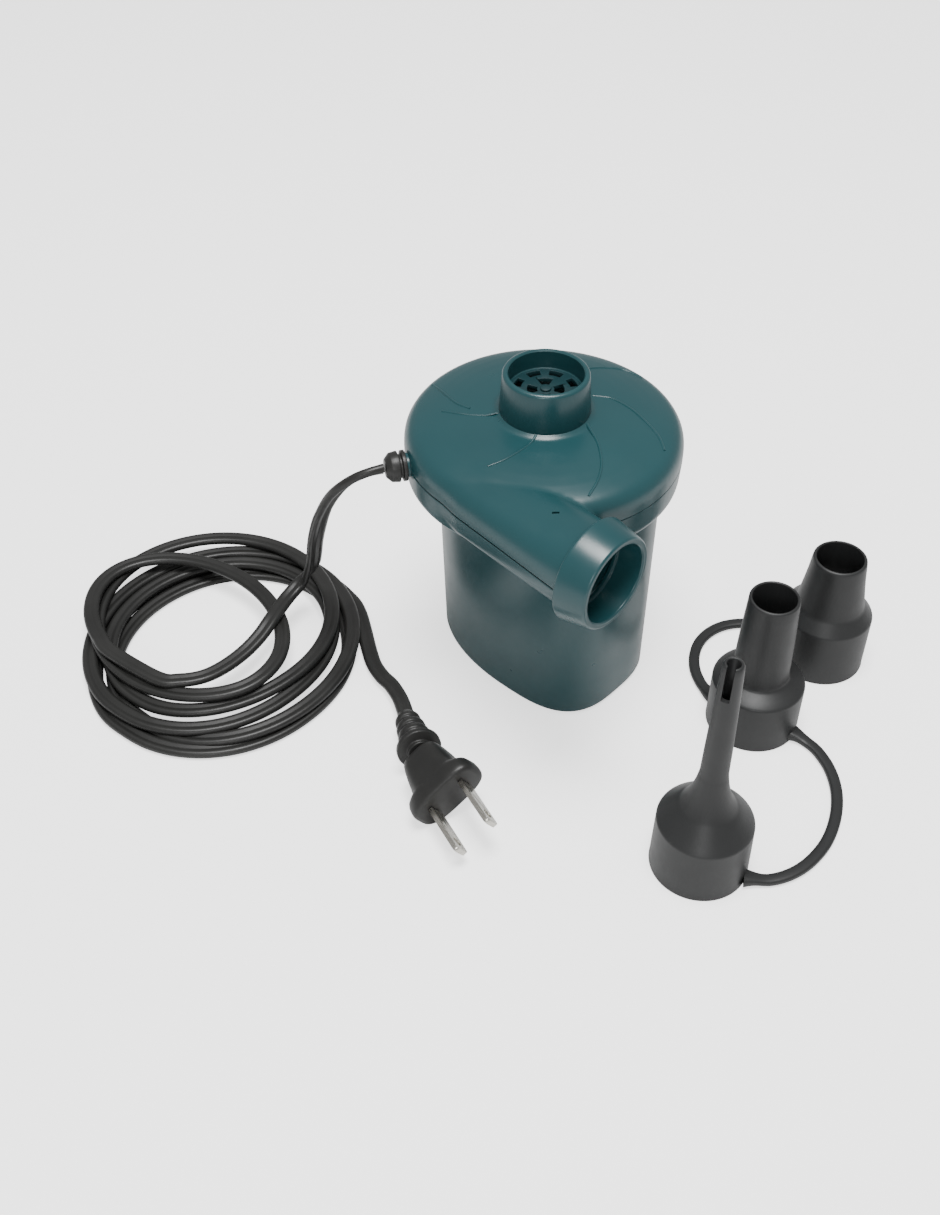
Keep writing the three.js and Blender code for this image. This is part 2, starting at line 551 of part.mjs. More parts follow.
const TETHER_Z = 2.3;
const tetherA = [
  [114.5, -36.1], [118.6, -32.4], [121.9, -27.6], [123.9, -22.0], [124.7, -15.6], [124.3, -8.4], [122.4, -1.0],
  [119.2, 6.2], [114.8, 12.6], [109.0, 18.0], [102.4, 21.6], [97.6, 22.6], [93.4, 22.4],
];
const tetherB = [
  [61.4, 18.9], [56.8, 21.0], [51.4, 25.0], [47.2, 30.4], [44.6, 36.8], [44.2, 43.4], [46.0, 49.8], [50.2, 55.4],
  [56.0, 59.2], [62.2, 60.6],
];
addMesh('tether_a', tube(tetherA.map(([x, y]) => [x, y, TETHER_Z]), 2.1, 22), CHARCOAL);
addMesh('tether_b', tube(tetherB.map(([x, y]) => [x, y, TETHER_Z]), 2.1, 18), CHARCOAL);

export default group;
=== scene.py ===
# Electric air mattress pump: a round fan case on a tapered motor housing, a side outlet, an intake
# collar with a grille, a flat cord in a loose coil, and three nozzles held together by soft tethers.
# Metres throughout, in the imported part's own frame: +Z is up and +X is the way the outlet blows.
import math
import bmesh
import bpy
from mathutils import Matrix, Vector


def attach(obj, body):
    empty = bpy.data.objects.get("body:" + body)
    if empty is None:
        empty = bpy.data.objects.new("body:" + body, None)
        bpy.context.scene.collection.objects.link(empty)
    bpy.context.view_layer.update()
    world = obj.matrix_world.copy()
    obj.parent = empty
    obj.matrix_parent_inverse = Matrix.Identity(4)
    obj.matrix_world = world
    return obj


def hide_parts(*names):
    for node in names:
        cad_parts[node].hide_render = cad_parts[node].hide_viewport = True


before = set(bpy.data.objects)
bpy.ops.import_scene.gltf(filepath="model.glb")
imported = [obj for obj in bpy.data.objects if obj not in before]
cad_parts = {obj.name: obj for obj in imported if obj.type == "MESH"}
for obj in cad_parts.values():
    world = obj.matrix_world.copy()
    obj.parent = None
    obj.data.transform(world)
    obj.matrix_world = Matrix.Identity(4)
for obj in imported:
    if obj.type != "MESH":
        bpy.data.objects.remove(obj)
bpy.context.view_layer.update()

# ---------------------------------------------------------------- camera
# A plain camera above the front corner of the pump, looking down on the dome, the outlet and the
# nozzles beside it.
camera_data = bpy.data.cameras.new("camera")
camera_data.sensor_fit = "VERTICAL"
camera_data.sensor_height = 24
camera_data.lens = 27.65
camera_data.clip_start = 0.01
camera = bpy.data.objects.new("camera", camera_data)
camera.location = (0.2202, -0.2769, 0.3486)
camera.rotation_euler = Vector((-0.489, 0.5393, -0.6856)).to_track_quat("-Z", "Y").to_euler()
bpy.context.collection.objects.link(camera)
bpy.context.scene.camera = camera


# ---------------------------------------------------------------- cord
# The mains lead is a flat twin flex of black PVC, two round cores side by side with a groove between
# them. It drops from the strain relief, crosses over its own coil, goes round it and ends in the plug.
def smooth_line(points, step=0.0015):
    points = [Vector(p) for p in points]
    ends = [points[0] * 2 - points[1]] + points + [points[-1] * 2 - points[-2]]
    line = []
    for a, b, c, d in zip(ends, ends[1:], ends[2:], ends[3:]):
        count = max(1, round((c - b).length / step))
        for i in range(count):
            t = i / count
            bend = (a * 2 - b * 5 + c * 4 - d) * t * t + (b * 3 - a - c * 3 + d) * t * t * t
            line.append((b * 2 + (c - a) * t + bend) / 2)
    return line + [points[-1]]


def swept(line, section, name, size=None, tilt=None):
    """A mesh that carries a flat closed section along a line, its flat side up.

    size and tilt, if given, turn the distance from the nearer end, or from the start, into a scale
    and an angle for the section there.
    """
    path = bpy.data.curves.new(name, "CURVE")
    path.dimensions = "3D"
    path.twist_mode = "Z_UP"
    spline = path.splines.new("POLY")
    spline.points.add(len(line) - 1)
    lengths = [0]  # distance along the line to each point
    for a, b in zip(line, line[1:]):
        lengths.append(lengths[-1] + (b - a).length)
    for point, place, along in zip(spline.points, line, lengths):
        point.co = (*place, 1)
        if size:
            point.radius = size(min(along, lengths[-1] - along))
        if tilt:
            point.tilt = tilt(along)
    outline = bpy.data.curves.new(name + "_section", "CURVE")
    outline.dimensions = "2D"
    ring = outline.splines.new("POLY")
    ring.points.add(len(section) - 1)
    for point, (x, y) in zip(ring.points, section):
        point.co = (x, y, 0, 1)
    ring.use_cyclic_u = True
    section_object = bpy.data.objects.new(name + "_section", outline)
    path.bevel_mode = "OBJECT"
    path.bevel_object = section_object
    path.use_fill_caps = True
    path_object = bpy.data.objects.new(name + "_path", path)
    for item in (section_object, path_object):
        bpy.context.collection.objects.link(item)
    mesh = bpy.data.meshes.new_from_object(path_object.evaluated_get(bpy.context.evaluated_depsgraph_get()))
    bpy.data.objects.remove(path_object)
    bpy.data.objects.remove(section_object)
    bm = bmesh.new()
    bm.from_mesh(mesh)
    bmesh.ops.remove_doubles(bm, verts=bm.verts, dist=1e-6)
    bmesh.ops.recalc_face_normals(bm, faces=bm.faces)
    return bm


def placed(bm, name, material, body="pump", crease=35):
    """The finished piece: shaded smooth up to the crease angle, with its material, on its body."""
    mesh = bpy.data.meshes.new(name)
    bm.to_mesh(mesh)
    bm.free()
    for face in mesh.polygons:
        face.use_smooth = True
    mesh.set_sharp_from_angle(angle=math.radians(crease))
    mesh.materials.append(material)
    piece = bpy.data.objects.new(name, mesh)
    bpy.context.collection.objects.link(piece)
    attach(piece, body)
    return piece


def moulded(name, colour, shade, roughness, blotch=60, grain=2200, bump=0.15):
    """A moulded plastic or rubber: slow colour drift, uneven gloss and a fine grain in the surface."""
    material = bpy.data.materials.new(name)
    material.use_nodes = True
    nodes, links = material.node_tree.nodes, material.node_tree.links
    shader = nodes["Principled BSDF"]
    shader.inputs["Specular IOR Level"].default_value = 0.36
    place = nodes.new("ShaderNodeTexCoord")
    drift = nodes.new("ShaderNodeTexNoise")
    drift.inputs["Scale"].default_value = blotch
    drift.inputs["Detail"].default_value = 5
    links.new(place.outputs["Object"], drift.inputs["Vector"])
    tint = nodes.new("ShaderNodeValToRGB")
    tint.color_ramp.elements[0].position = 0.3
    tint.color_ramp.elements[0].color = (*shade, 1)
    tint.color_ramp.elements[1].position = 0.7
    tint.color_ramp.elements[1].color = (*colour, 1)
    links.new(drift.outputs["Fac"], tint.inputs["Fac"])
    links.new(tint.outputs["Color"], shader.inputs["Base Color"])
    haze = nodes.new("ShaderNodeTexNoise")
    haze.inputs["Scale"].default_value = blotch * 5
    haze.inputs["Detail"].default_value = 3
    links.new(place.outputs["Object"], haze.inputs["Vector"])
    gloss = nodes.new("ShaderNodeMapRange")
    gloss.inputs["To Min"].default_value = roughness - 0.06
    gloss.inputs["To Max"].default_value = roughness + 0.06
    links.new(haze.outputs["Fac"], gloss.inputs["Value"])
    links.new(gloss.outputs["Result"], shader.inputs["Roughness"])
    skin = nodes.new("ShaderNodeTexNoise")
    skin.inputs["Scale"].default_value = grain
    skin.inputs["Detail"].default_value = 2
    links.new(place.outputs["Object"], skin.inputs["Vector"])
    relief = nodes.new("ShaderNodeBump")
    relief.inputs["Strength"].default_value = bump
    relief.inputs["Distance"].default_value = 0.00005
    links.new(skin.outputs["Fac"], relief.inputs["Height"])
    links.new(relief.outputs["Normal"], shader.inputs["Normal"])
    return material


cord_black = moulded("cord_black", (0.022, 0.022, 0.021), (0.014, 0.014, 0.0135), 0.4, bump=0.25)

seam_z = 0.0866
relief_turn = math.radians(-123)
cord_exit = (0.0511 * math.cos(relief_turn), 0.0511 * math.sin(relief_turn), seam_z)
drop = [
    cord_exit, (-0.0302, -0.0468, 0.0862), (-0.0336, -0.0506, 0.0840), (-0.0376, -0.0530, 0.0794),
    (-0.0420, -0.0536, 0.0726), (-0.0468, -0.0528, 0.0640), (-0.0518, -0.0508, 0.0544),
    (-0.0568, -0.0482, 0.0446), (-0.0614, -0.0454, 0.0348), (-0.0656, -0.0432, 0.0260),
    (-0.0690, -0.0430, 0.0190), (-0.0710, -0.0454, 0.0148), (-0.0706, -0.0516, 0.0129),
]
crossing = [
    (-0.0685, -0.0580, 0.0127), (-0.0662, -0.0640, 0.0126), (-0.0644, -0.0710, 0.0112),
    (-0.0635, -0.0790, 0.0100), (-0.0635, -0.0880, 0.0097), (-0.0650, -0.0957, 0.0099),
    (-0.0694, -0.1021, 0.0100), (-0.0758, -0.1065, 0.0100),
]
lead = [
    (-0.0385, -0.0440, 0.0018), (-0.0320, -0.0480, 0.0020), (-0.0255, -0.0505, 0.0026),
    (-0.0204, -0.0514, 0.0028), (-0.0134, -0.0544, 0.0038), (-0.0072, -0.0584, 0.0054),
    (-0.0049, -0.0601, 0.0061),
]
# Each turn of the coil lies in its own oval, the top one first: centre, half width, half depth, height.
turns = [
    (-0.0900, -0.0820, 0.0400, 0.0270, 0.0100), (-0.0880, -0.0710, 0.0430, 0.0395, 0.0071),
    (-0.0800, -0.0750, 0.0385, 0.0385, 0.0044), (-0.0790, -0.0755, 0.0455, 0.0455, 0.0044),
    (-0.0730, -0.0765, 0.0405, 0.0410, 0.0016), (-0.0730, -0.0765, 0.0470, 0.0475, 0.0016),
]
coil = []
angle = -100
while angle >= -100 - 360 * 5 - 202:
    along = (-100 - angle) / 360
    here, blend = int(along), min(1, max(0, (along - int(along) - 0.7) / 0.3))
    blend = blend * blend * (3 - 2 * blend)
    after = turns[min(here + 1, len(turns) - 1)]
    x, y, wide, deep, high = [a + (b - a) * blend for a, b in zip(turns[here], after)]
    stray = 0.0007 * math.sin(math.radians(angle) * 2.3 + here * 1.7)
    turn = math.radians(angle)
    coil.append((x + (wide + stray) * math.cos(turn), y + (deep + stray) * math.sin(turn), high))
    angle -= 12
cord_line = smooth_line(drop + crossing + coil + lead)
twin_section = []
for core, start in ((0.00138, -140), (-0.00138, 40)):
    for i in range(9):
        a = math.radians(start + i * 35)
        twin_section.append((core + 0.00142 * math.cos(a), 0.00142 * math.sin(a)))


def exit_tilt(along):
    """The flat flex is turned about its own line where it leaves, and lies flat 30 mm further on."""
    return 0.8 * max(0, 1 - along / 0.03)


cord = swept(cord_line, twin_section, "cord", tilt=exit_tilt)
cord = placed(cord, "cord", cord_black, crease=60)
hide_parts("cord_drop", "cord_coil", "cord_lead")


# ---------------------------------------------------------------- fan case
# The round case and its outlet duct are one hollow form of satin teal plastic, blended where the duct
# leaves the rim, and moulded in two halves that meet in a fine seam at the middle of the outlet.
def turned(profile, segments=96):
    """A piece turned about +Z from (radius, height) in millimetres, closed where it leaves the axis."""
    bm = bmesh.new()
    verts = [bm.verts.new((r * 0.001, 0, z * 0.001)) for r, z in profile]
    edges = [bm.edges.new(pair) for pair in zip(verts, verts[1:])]
    if profile[0][0] > 0:
        edges.append(bm.edges.new((verts[-1], verts[0])))
    bmesh.ops.spin(bm, geom=verts + edges, axis=(0, 0, 1), cent=(0, 0, 0), steps=segments,
                   angle=math.tau, use_merge=True)
    bmesh.ops.remove_doubles(bm, verts=bm.verts, dist=1e-6)
    bmesh.ops.recalc_face_normals(bm, faces=bm.faces)
    return bm


def softened(bm, width, segments=2, over=35):
    """Rounds every edge that is sharper than the angle, by a width in metres."""
    sharp = [e for e in bm.edges if e.is_manifold and e.calc_face_angle() > math.radians(over)]
    bmesh.ops.bevel(bm, geom=sharp, offset=width, offset_type="OFFSET", segments=segments, profile=0.5,
                    affect="EDGES", material=-1, clamp_overlap=True)
    return bm


def swing(bm, angle, axis):
    """Turns a shape about an axis through the origin, in radians."""
    bmesh.ops.rotate(bm, verts=bm.verts, cent=(0, 0, 0), matrix=Matrix.Rotation(angle, 3, axis))


def shift(bm, step):
    bmesh.ops.translate(bm, verts=bm.verts, vec=step)


def join(bm, extra):
    """Adds another shape to this one, uncut."""
    mesh = bpy.data.meshes.new("extra")
    extra.to_mesh(mesh)
    extra.free()
    bm.from_mesh(mesh)


def lofted(stations, place, count):
    """A closed form through a ring at each station: place(station, angle) gives a point of the ring."""
    bm = bmesh.new()
    turn = bm.verts.layers.float.new("turn")
    for v in bmesh.ops.create_circle(bm, cap_ends=True, radius=1, segments=count)["verts"]:
        v[turn] = math.atan2(v.co.y, v.co.x)
        v.co = place(stations[0], v[turn])
    ring = list(bm.edges)
    for station in stations[1:]:
        made = bmesh.ops.extrude_edge_only(bm, edges=ring)["geom"]
        fresh = {item for item in made if isinstance(item, bmesh.types.BMVert)}
        for v in fresh:
            v.co = place(station, v[turn])
        ring = [e for v in fresh for e in v.link_edges if e.other_vert(v) in fresh]
        ring = list(dict.fromkeys(ring))
    bmesh.ops.contextual_create(bm, geom=ring)
    bmesh.ops.recalc_face_normals(bm, faces=bm.faces)
    return bm


def oval(half_x, half_y, power, a):
    """A point of an oval that is an ellipse at power 2 and squarer above it."""
    c, s = math.cos(a), math.sin(a)
    x = math.copysign(abs(c) ** (2 / power) * half_x, c)
    y = math.copysign(abs(s) ** (2 / power) * half_y, s)
    return (x, y)


def loose_object(bm, name):
    mesh = bpy.data.meshes.new(name)
    bm.to_mesh(mesh)
    bm.free()
    item = bpy.data.objects.new(name, mesh)
    bpy.context.collection.objects.link(item)
    return item


def baked(item):
    """The mesh of an object with its modifiers in it, and the object itself gone."""
    shape = item.evaluated_get(bpy.context.evaluated_depsgraph_get())
    bm = bmesh.new()
    bm.from_mesh(bpy.data.meshes.new_from_object(shape))
    bpy.data.objects.remove(item)
    return bm


def carved(bm, cutter, operation="DIFFERENCE"):
    """The first shape with the second one cut out of it, or united with it."""
    item, tool = loose_object(bm, "blank"), loose_object(cutter, "tool")
    cut = item.modifiers.new("cut", "BOOLEAN")
    cut.operation = operation
    cut.solver = "EXACT"
    cut.object = tool
    result = baked(item)
    bpy.data.objects.remove(tool)
    return result


def duct(stations, grow=0.0):
    """The outlet duct: it starts inside the case and swells to a round end behind the outlet collar."""
    def ring(x, a):
        along = min(1.05, max(0, (x + 6) / 53.2))
        lift = 0.8 * along ** 4
        tuck = 0.12 * max(0, 4 - x)  # keeps the duct's start inside the rim
        half_width = 12.4 + 1.4 * along - tuck + grow
        half_height = 9.6 + 2.05 * along + lift + grow
        y, z = oval(half_width, half_height, 3.2 - min(along, 1), a)
        return Vector((x, -31.4 - 5.2 * along + y, 85.8 + 0.55 * along + lift + z)) * 0.001
    return lofted(stations, ring, 64)


case_profile = [
    (0, 75.6), (38.9, 75.6), (40.7, 75.9), (41.9, 76.7), (42.7, 77.9), (43.0, 79.3), (43.4, 86.0),
    (43.4, 89.0), (43.3, 90.4), (42.9, 91.9), (42.1, 93.3), (41.1, 94.4), (39.6, 95.3), (37.6, 96.0),
    (34.7, 96.8), (30.8, 97.6), (26.4, 98.2), (21.5, 98.6), (17.8, 98.8), (15.6, 98.95), (14.6, 99.5),
    (13.6, 100.4), (0, 100.8),
]
blank = carved(turned(case_profile), duct([-6, 4, 14, 24, 34, 42, 46.9, 50]), "UNION")
blank = loose_object(blank, "case_blank")
fused = blank.modifiers.new("fused", "REMESH")
fused.mode = "VOXEL"
fused.voxel_size = 0.00055
blended = blank.modifiers.new("blended", "SMOOTH")
blended.factor = 0.5
blended.iterations = 10
case_form = bpy.data.meshes.new("case_form")
form = baked(blank)
form.to_mesh(case_form)
form.free()

teal = moulded(
    "teal_plastic", (0.0120, 0.0560, 0.0635), (0.0100, 0.0490, 0.0560), 0.3,
    blotch=25, grain=1800, bump=0.12,
)
teal.node_tree.nodes["Principled BSDF"].inputs["Specular IOR Level"].default_value = 0.5


def case_half(side):
    """One half of the case: the blended form cut at the seam and at the duct's end, walled inwards."""
    bm = bmesh.new()
    bm.from_mesh(case_form)
    seam = seam_z + side * 0.00045
    beside_duct = 0.02
    bmesh.ops.bisect_plane(bm, geom=bm.verts[:] + bm.edges[:] + bm.faces[:], plane_co=(0, 0, seam),
                           plane_no=(0, 0, -side), clear_outer=True, dist=1e-7)
    bmesh.ops.bisect_plane(bm, geom=bm.verts[:] + bm.edges[:] + bm.faces[:], plane_co=(0.0469, 0, 0),
                           plane_no=(1, 0, 0), clear_outer=True, dist=1e-7)
    bm.normal_update()
    lip = [e for e in bm.edges if e.is_boundary and all(abs(v.co.z - seam) < 1e-5 for v in e.verts)]
    made = bmesh.ops.extrude_edge_only(bm, edges=lip)["geom"]
    for v in [item for item in made if isinstance(item, bmesh.types.BMVert)]:
        outward = Vector((v.co.x, v.co.y, 0)).normalized()
        if v.co.x >= beside_duct:
            outward = Vector((0, math.copysign(1, v.co.y + 0.035), 0))
        v.co -= outward * 0.00022
        v.co.z -= side * 0.0003
    opening = 0.0124 if side > 0 else 0.020
    inner = [f for f in bm.faces if f.calc_center_median().xy.length < opening and abs(f.normal.z) > 0.5]
    bmesh.ops.delete(bm, geom=inner, context="FACES")
    shell = loose_object(bm, "case_shell")
    wall = shell.modifiers.new("wall", "SOLIDIFY")
    wall.thickness = 0.002
    wall.offset = -1
    wall.use_even_offset = False
    return baked(shell)


def along_relief(bm):
    """Turns a piece made about +Z so that it points out of the rim where the cord leaves."""
    swing(bm, math.pi / 2, "Y")
    swing(bm, relief_turn, "Z")
    shift(bm, (0, 0, seam_z))
    return bm


def relief_hole():
    return along_relief(turned([(0, 38), (3.75, 38), (3.75, 45), (0, 45)], 32))


lower_shell = placed(carved(case_half(-1), relief_hole()), "lower_shell_moulding", teal, crease=40)
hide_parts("lower_shell")

# ---------------------------------------------------------------- upper cover
# The top half of the case carries the intake collar, fine ribs that curl out over the dome, and a
# small pin mark on top of the duct. It is the same teal plastic, held down by three screws from below.
cover = carved(case_half(1), relief_hole())
pin_mark = bmesh.new()
bmesh.ops.create_cube(pin_mark, size=0.001)
bmesh.ops.scale(pin_mark, vec=(2.1, 0.9, 6), verts=pin_mark.verts)
swing(pin_mark, math.radians(42), "Z")
shift(pin_mark, (0.0330, -0.0345, 0.0965))
cover = carved(cover, pin_mark)
intake_collar = softened(turned([
    (11.5, 96.6), (13.2, 96.6), (14.15, 99.6), (13.35, 112.0), (13.1, 112.6), (12.5, 113.0), (11.9, 113.0),
    (11.5, 112.6), (11.5, 106.9), (11.1, 106.5), (11.1, 104.9), (11.5, 104.6),
], 128), 0.0002, 2, 50)
join(cover, intake_collar)


def dome_height(r):
    """The height of the dome's surface at a radius, both in millimetres."""
    for (r1, z1), (r0, z0) in zip(case_profile, case_profile[1:]):
        if z0 > 90 and r0 <= r <= r1:
            return z0 + (z1 - z0) * (r - r0) / (r1 - r0)
    return 99


curls = [
    [(12.1, -58), (16.8, -64), (21.5, -70), (26.8, -76), (31.4, -82)],
    [(14.6, 10), (20.5, -2), (25.5, -10), (30.5, -17), (35.0, -24), (39.1, -31)],
    [(17.2, 70), (22.0, 61), (26.4, 47), (30.8, 35), (35.3, 26), (38.7, 18)],
    [(14.4, -129), (19.2, -131), (25.7, -136), (31.6, -141)],
    [(16.0, 118), (21.0, 113), (29.8, 99), (34.5, 92), (37.9, 86), (39.5, 78)],
    [(23.0, -142), (27.8, -149), (34.1, -160), (40.0, -167)],
]
rib_section = []
for i in range(10):
    a = i * math.tau / 10
    rib_section.append((0.00042 * math.cos(a), 0.0003 * math.sin(a)))
for curl in curls:
    rib_line = []
    for r, azimuth in curl:
        turn = math.radians(azimuth)
        rib_line.append((r * 0.001 * math.cos(turn), r * 0.001 * math.sin(turn), dome_height(r) * 0.001))
    join(cover, swept(smooth_line(rib_line, 0.0008), rib_section, "rib"))
cover = placed(cover, "upper_cover_moulding", teal, crease=40)
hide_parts("upper_cover")

# ---------------------------------------------------------------- outlet collar
# A tapered ring of the same plastic closes the end of the duct. Its back edge stands proud of the
# duct and its mouth is lightly rounded, so that a nozzle pushes on easily.
collar = softened(turned([
    (11.6, 0), (15.9, 0), (16.2, 0.4), (16.1, 1.2), (14.45, 9.5), (14.0, 10), (12.8, 10), (12.3, 9.6),
    (12.3, 1.4), (11.6, 1.2),
], 128), 0.0002, 3, 20)
swing(collar, math.pi / 2, "Y")
shift(collar, (0.0472, -0.0366, seam_z))
collar = placed(collar, "outlet_collar_ring", teal, crease=50)
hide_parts("outlet_collar")

# ---------------------------------------------------------------- intake grille
# A moulded disc across the intake collar keeps fingers off the impeller: four windows round a hub,
# a land, and eight outer windows. It is the same plastic, coloured darker as painted shade inside the collar.
# The darker teal is painted shade, standing in for the shadow down inside the intake collar.
grille_teal_with_painted_shade = moulded("grille_plastic_painted_shade", (0.0100, 0.0360, 0.0415), (0.0072, 0.0275, 0.0320), 0.4, blotch=90)
grille = turned([(0, 105.2), (11.05, 105.2), (11.05, 106.8), (0, 106.8)], 96)


def window(r0, r1, middle, half):
    """A curved window through the grille, from (radius, radius) and angles in degrees."""
    bm = bmesh.new()
    line = [bm.verts.new((r * 0.001, 0, z * 0.001)) for r, z in ((r0, 104), (r1, 104), (r1, 108), (r0, 108))]
    face = bm.faces.new(line)
    swing(bm, math.radians(middle - half), "Z")
    bmesh.ops.spin(bm, geom=[face, *face.edges, *line], axis=(0, 0, 1), cent=(0, 0, 0), steps=10,
                   angle=math.radians(2 * half), use_merge=False)
    bmesh.ops.recalc_face_normals(bm, faces=bm.faces)
    return bm


for i in range(4):
    grille = carved(grille, window(2.6, 5.7, 42 + i * 90, 25))
for i in range(8):
    grille = carved(grille, window(7.6, 10.0, 64.5 + i * 45, 13.5))
hub = softened(turned([(0, 106.5), (1.7, 106.5), (1.7, 107.4), (0, 107.6)], 32), 0.0002)
join(grille, hub)
grille = placed(softened(grille, 0.00018, 2, 60), "intake_grille_disc", grille_teal_with_painted_shade)
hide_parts("intake_grille")

# ---------------------------------------------------------------- motor housing
# The motor stands in a tall egg-shaped shell that widens a little towards the fan case. It rests flat on
# the floor, has air slots through its floor and louvres at the back, and four screws hold the motor in.
housing_top = 75.3
widest_x, to_front, to_back, half_across = 8, 29, 44, 25


def housing_ring(station, a):
    inset, z = station
    rise = z / housing_top
    ahead = math.cos(a) > 0
    reach = (to_front if ahead else to_back + 3 * rise) - inset
    x, y = oval(reach, half_across + rise - inset, 3 if ahead else 2.1, a)
    return Vector((widest_x + x, y, z)) * 0.001


outside = [
    (2.6, 0), (1.7, 0.15), (0.9, 0.55), (0.3, 1.3), (0, 2.4), (0, 14), (0, 30), (0, 46), (0, 62), (0, 74.9),
    (0.3, 75.3),
]
inside = [(5, 2.4), (3.2, 2.7), (2.4, 3.6), (2.2, 5), (2.2, 30), (2.2, 55), (2.2, 78)]
housing = carved(lofted(outside, housing_ring, 144), lofted(inside, housing_ring, 72))


def block(size, place):
    """A block of (x, y, z) millimetres about a place."""
    bm = bmesh.new()
    bmesh.ops.create_cube(bm, size=0.001)
    bmesh.ops.scale(bm, vec=size, verts=bm.verts)
    shift(bm, Vector(place) * 0.001)
    return bm


def together(parts):
    """Several separate shapes in one mesh."""
    whole = bmesh.new()
    for part in parts:
        join(whole, part)
    return whole


feet = [(21, 6.5), (-21, 6.5), (-21, -6.5), (21, -6.5)]
vents = [softened(block((2.4, 22, 8), ((i - 2.5) * 5.6, 0, 1)), 0.001, 4) for i in range(6)]
louvres = [softened(block((26, 12, 2), (6, 25, 12 + i * 4.4)), 0.0008, 3) for i in range(6)]
housing = carved(housing, together(vents + louvres))
bosses, bores = [], []
for x, y in feet:
    boss = turned([(0, 1), (4.6, 1), (4.6, 8.7), (0, 8.7)], 40)
    bore = turned([(0, -1), (3.1, -1), (3.1, 2.6), (1.8, 2.6), (1.8, 12), (0, 12)], 40)
    for shape in (boss, bore):
        shift(shape, (x * 0.001, y * 0.001, 0))
    bosses.append(boss)
    bores.append(bore)
housing = carved(carved(housing, together(bosses), "UNION"), together(bores))
housing = carved(housing, duct([-6.3, 4, 14, 24, 34, 42, 47.2], 0.3))
housing = placed(housing, "motor_housing_moulding", teal, crease=28)
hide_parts("motor_housing")

# ---------------------------------------------------------------- screws
# Zinc-plated pan head screws. Three close the case from below, four hold the motor to the housing's
# floor, and three hold the plate under the impeller. They come straight from the CAD part.
def metal(name, colour, roughness, streak=(900, 900, 60), bump=0.1):
    """A plated or rolled metal with fine drawn lines and slightly uneven gloss."""
    material = bpy.data.materials.new(name)
    material.use_nodes = True
    nodes, links = material.node_tree.nodes, material.node_tree.links
    shader = nodes["Principled BSDF"]
    shader.inputs["Metallic"].default_value = 1.0
    place = nodes.new("ShaderNodeTexCoord")
    stretch = nodes.new("ShaderNodeMapping")
    stretch.inputs["Scale"].default_value = streak
    links.new(place.outputs["Object"], stretch.inputs["Vector"])
    lines = nodes.new("ShaderNodeTexNoise")
    lines.inputs["Scale"].default_value = 1
    lines.inputs["Detail"].default_value = 4
    links.new(stretch.outputs["Vector"], lines.inputs["Vector"])
    tint = nodes.new("ShaderNodeValToRGB")
    tint.color_ramp.elements[0].position = 0.25
    tint.color_ramp.elements[0].color = (*[c * 0.8 for c in colour], 1)
    tint.color_ramp.elements[1].position = 0.75
    tint.color_ramp.elements[1].color = (*colour, 1)
    links.new(lines.outputs["Fac"], tint.inputs["Fac"])
    links.new(tint.outputs["Color"], shader.inputs["Base Color"])
    gloss = nodes.new("ShaderNodeMapRange")
    gloss.inputs["To Min"].default_value = roughness - 0.08
    gloss.inputs["To Max"].default_value = roughness + 0.1
    links.new(lines.outputs["Fac"], gloss.inputs["Value"])
    links.new(gloss.outputs["Result"], shader.inputs["Roughness"])
    relief = nodes.new("ShaderNodeBump")
    relief.inputs["Strength"].default_value = bump
    relief.inputs["Distance"].default_value = 0.00003
    links.new(lines.outputs["Fac"], relief.inputs["Height"])
    links.new(relief.outputs["Normal"], shader.inputs["Normal"])
    return material


def faced(material, *names):
    """Gives CAD nodes their finish."""
    for name in names:
        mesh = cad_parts[name].data
        mesh.materials.clear()
        mesh.materials.append(material)


zinc = metal("zinc_plate", (0.62, 0.63, 0.64), 0.32)
faced(zinc, "case_screw_1", "case_screw_2", "case_screw_3", "plate_screw_1", "plate_screw_2", "plate_screw_3")
faced(zinc, "base_screw_1", "base_screw_2", "base_screw_3", "base_screw_4", "stator_bolt_a", "stator_bolt_b")
faced(zinc, "impeller_nut")

# ---------------------------------------------------------------- motor, fixed pieces
# Two pressed steel brackets carry the bearings and clamp a laminated stator with its two copper field
# coils. Two brass holders guide the carbon brushes, and a black plate closes the fan chamber above.
pressed_steel = metal("pressed_steel", (0.5, 0.51, 0.52), 0.38, streak=(80, 1200, 1200))
faced(pressed_steel, "motor_bracket_lower", "motor_bracket_upper")
brass = metal("brass", (0.56, 0.38, 0.13), 0.34, streak=(500, 500, 500))
faced(brass, "bearing_lower", "bearing_upper", "brush_holder_a", "brush_holder_b")
lamination = metal("lamination_steel", (0.16, 0.16, 0.165), 0.5, streak=(60, 60, 2600), bump=0.5)
faced(lamination, "stator_core", "armature_core")
copper = metal("copper_winding", (0.55, 0.2, 0.075), 0.3, streak=(200, 200, 3200), bump=0.7)
faced(copper, "field_coil_a", "field_coil_b", "armature_coil_upper", "armature_coil_lower")
segment_copper = metal("segment_copper", (0.62, 0.26, 0.12), 0.28, streak=(60, 60, 1500), bump=0.3)
faced(segment_copper, "commutator")
carbon = moulded("carbon", (0.014, 0.014, 0.015), (0.008, 0.008, 0.009), 0.75, blotch=300, bump=0.5)
faced(carbon, "carbon_brush_a", "carbon_brush_b")
plate_black = moulded("plate_black", (0.016, 0.017, 0.018), (0.011, 0.012, 0.013), 0.55, blotch=80)
faced(plate_black, "motor_plate")

# ---------------------------------------------------------------- rotor
# The steel shaft carries the armature, a small fan that draws air past the motor, and the bladed
# impeller of grey plastic that blows out through the duct.
ground_steel = metal("ground_steel", (0.6, 0.61, 0.62), 0.24, streak=(400, 400, 3000))
faced(ground_steel, "motor_shaft")
fan_grey = moulded("fan_grey", (0.25, 0.26, 0.27), (0.2, 0.21, 0.22), 0.45, blotch=70)
faced(fan_grey, "cooling_fan", "impeller")

